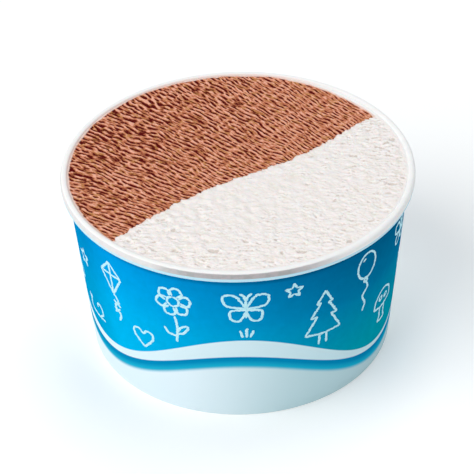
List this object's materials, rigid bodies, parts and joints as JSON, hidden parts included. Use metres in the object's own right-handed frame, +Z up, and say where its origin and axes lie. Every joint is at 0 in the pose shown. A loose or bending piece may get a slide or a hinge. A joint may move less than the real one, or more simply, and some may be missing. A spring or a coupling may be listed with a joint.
{
  "type": "gelato cup",
  "caption": "Round tapered paper cup with a rolled rim, filled level with chocolate and milk gelato side by side.",
  "frame": {"origin": "middle of the ring that the cup stands on, at the table", "axes": "+Z up along the cup's axis; -Y is the front; +X is the right-hand side seen from the front; the side seam is at +Y"},
  "size_m": [0.09, 0.09, 0.0495],
  "materials": {
    "printed_board": "coated cup board, printed in blue above a pale lower band, with a plain white rolled rim, satin",
    "plain_board": "plain white coated cup board, satin",
    "chocolate_gelato": "frozen chocolate cream, scraped and pitted, softly moist",
    "milk_gelato": "frozen milk cream, finely scraped, softly moist"
  },
  "bodies": {
    "root": {"cup_wall": "printed_board", "cup_bottom": "plain_board", "chocolate_gelato": "chocolate_gelato", "milk_gelato": "milk_gelato"}
  },
  "joints": []
}
